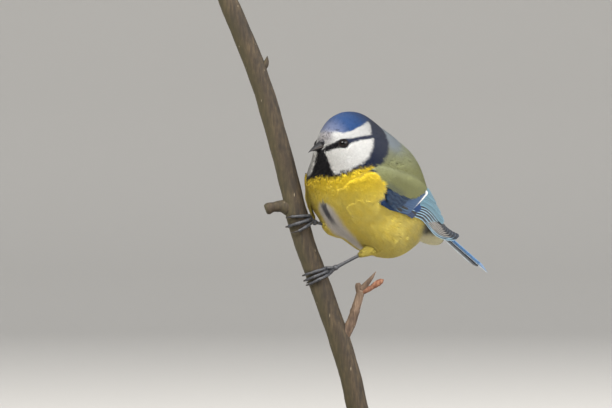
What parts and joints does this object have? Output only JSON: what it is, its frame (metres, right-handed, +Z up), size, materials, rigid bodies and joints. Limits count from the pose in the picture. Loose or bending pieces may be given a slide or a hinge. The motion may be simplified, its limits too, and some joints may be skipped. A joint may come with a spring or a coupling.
{
  "type": "blue tit",
  "caption": "Life-size still model of a blue tit gripping a cut length of leaning twig, held by a short rod on a round base.",
  "frame": {"origin": "middle of the stand base's underside", "axes": "+Z up; the bird faces -X and turned towards -Y, the side that the picture shows"},
  "size_m": [0.1142, 0.0936, 0.198],
  "materials": {
    "yellow_plumage": "soft matte feather",
    "head_plumage": "soft matte feather",
    "flight_feathers": "satin feather vanes",
    "leg_scales": "satin horn scales",
    "claw_horn": "smooth dark horn",
    "bill_horn": "smooth dark horn",
    "eye": "polished dark glass",
    "bark": "matte bark",
    "stand_wood": "satin varnished wood",
    "stand_steel": "brushed"
  },
  "bodies": {
    "root": {"head": "head_plumage", "neck": "head_plumage", "torso": "yellow_plumage", "bill_upper": "bill_horn", "bill_lower": "bill_horn", "eye_left": "eye", "eye_right": "eye", "wing_left": "flight_feathers", "wing_right": "flight_feathers", "tail": "flight_feathers", "shank_left": "leg_scales", "shank_right": "leg_scales", "foot_left": "leg_scales", "foot_right": "leg_scales", "claw_left_1": "claw_horn", "claw_left_2": "claw_horn", "claw_left_3": "claw_horn", "claw_left_4": "claw_horn", "claw_right_1": "claw_horn", "claw_right_2": "claw_horn", "claw_right_3": "claw_horn", "claw_right_4": "claw_horn", "perch_branch": "bark", "perch_twig": "bark", "stand_base": "stand_wood", "stand_rod": "stand_steel"}
  },
  "joints": []
}
